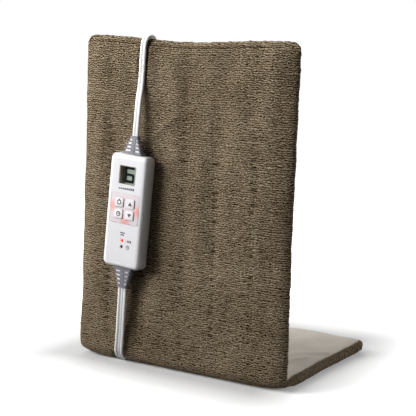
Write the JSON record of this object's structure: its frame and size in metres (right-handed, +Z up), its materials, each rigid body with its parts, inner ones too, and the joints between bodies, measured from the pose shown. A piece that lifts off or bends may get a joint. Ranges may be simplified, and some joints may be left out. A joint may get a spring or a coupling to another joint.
{
  "type": "heating pad with controller",
  "caption": "Plush electric heating pad folded into an L, with a white hand controller hung on its front, digital display, soft push buttons and flat white leads.",
  "frame": {"origin": "middle of the flap's resting face, on the floor", "axes": "+X along the pad's width, to the right as seen from the front, +Y from the upright panel back along the flap, +Z up"},
  "size_m": [0.3709, 0.3673, 0.4096],
  "materials": {
    "plush": "short ribbed plush",
    "lining": "smooth brushed lining",
    "wadding": "polyester wadding",
    "felt": "needled carrier felt",
    "heating_wire": "sheathed wire",
    "white_shell": "moulded satin ABS",
    "grey_rubber": "moulded soft PVC",
    "white_cord": "extruded PVC",
    "clear": "clear polycarbonate",
    "lcd": "grey-green display glass",
    "dark_plastic": "moulded",
    "board": "solder mask on glass laminate",
    "steel": "zinc plated",
    "brass": "stamped",
    "keypad_film": "printed film, pale pink",
    "red_lamp": "lit red lens",
    "dark_lamp": "unlit red lens"
  },
  "bodies": {
    "panel": {"plush_panel": "plush", "heater_sheet_panel": "felt", "heating_wire_panel": "heating_wire", "wadding_panel": "wadding", "lining_panel": "lining", "thermal_cutout": "steel", "heat_sensor": "dark_plastic", "pad_socket": "grey_rubber", "socket_pin_left": "brass", "socket_pin_right": "brass", "pad_plug": "grey_rubber", "case_front": "white_shell", "case_rear": "white_shell", "keypad_film": "keypad_film", "display_bezel": "white_shell", "display_lens": "clear", "lcd_glass": "lcd", "lcd_light_guide": "clear", "circuit_board": "board", "lamp_on": "red_lamp", "lamp_timer": "dark_lamp", "microcontroller": "dark_plastic", "triac": "dark_plastic", "capacitor": "keypad_film", "fuse": "clear", "terminal_pad_lead": "dark_plastic", "terminal_mains": "dark_plastic", "boot_upper": "grey_rubber", "boot_lower": "grey_rubber", "switch_power": "dark_plastic", "switch_warmer": "dark_plastic", "switch_timer": "dark_plastic", "switch_cooler": "dark_plastic", "case_screw_1": "steel", "case_screw_2": "steel", "case_screw_3": "steel", "case_screw_4": "steel", "pad_lead": "white_cord", "mains_lead": "white_cord", "mains_coil": "white_cord", "mains_tail": "white_cord", "cord_tie": "dark_plastic", "mains_plug": "white_shell", "plug_blade_left": "brass", "plug_blade_right": "brass"},
    "flap": {"plush_flap": "plush", "heater_sheet_flap": "felt", "heating_wire_flap": "heating_wire", "wadding_flap": "wadding", "lining_flap": "lining"},
    "power_key": {"button_power": "white_shell"},
    "warmer_key": {"button_warmer": "white_shell"},
    "timer_key": {"button_timer": "white_shell"},
    "cooler_key": {"button_cooler": "white_shell"}
  },
  "joints": [
    {"name": "pad_fold", "type": "hinge", "parent": "panel", "child": "flap", "pos_m": [0, -0.0975, 0.015], "axis": [1, 0, 0], "range_deg": [0, 78]},
    {"name": "press_power", "type": "slide", "parent": "panel", "child": "power_key", "axis": [0, 0.9978, -0.0663], "range_m": [0, 0.0007], "stiffness_N_per_m": 1500},
    {"name": "press_warmer", "type": "slide", "parent": "panel", "child": "warmer_key", "axis": [0, 0.9978, -0.0663], "range_m": [0, 0.0007], "stiffness_N_per_m": 1500},
    {"name": "press_timer", "type": "slide", "parent": "panel", "child": "timer_key", "axis": [0, 0.9978, -0.0663], "range_m": [0, 0.0007], "stiffness_N_per_m": 1500},
    {"name": "press_cooler", "type": "slide", "parent": "panel", "child": "cooler_key", "axis": [0, 0.9978, -0.0663], "range_m": [0, 0.0007], "stiffness_N_per_m": 1500}
  ]
}
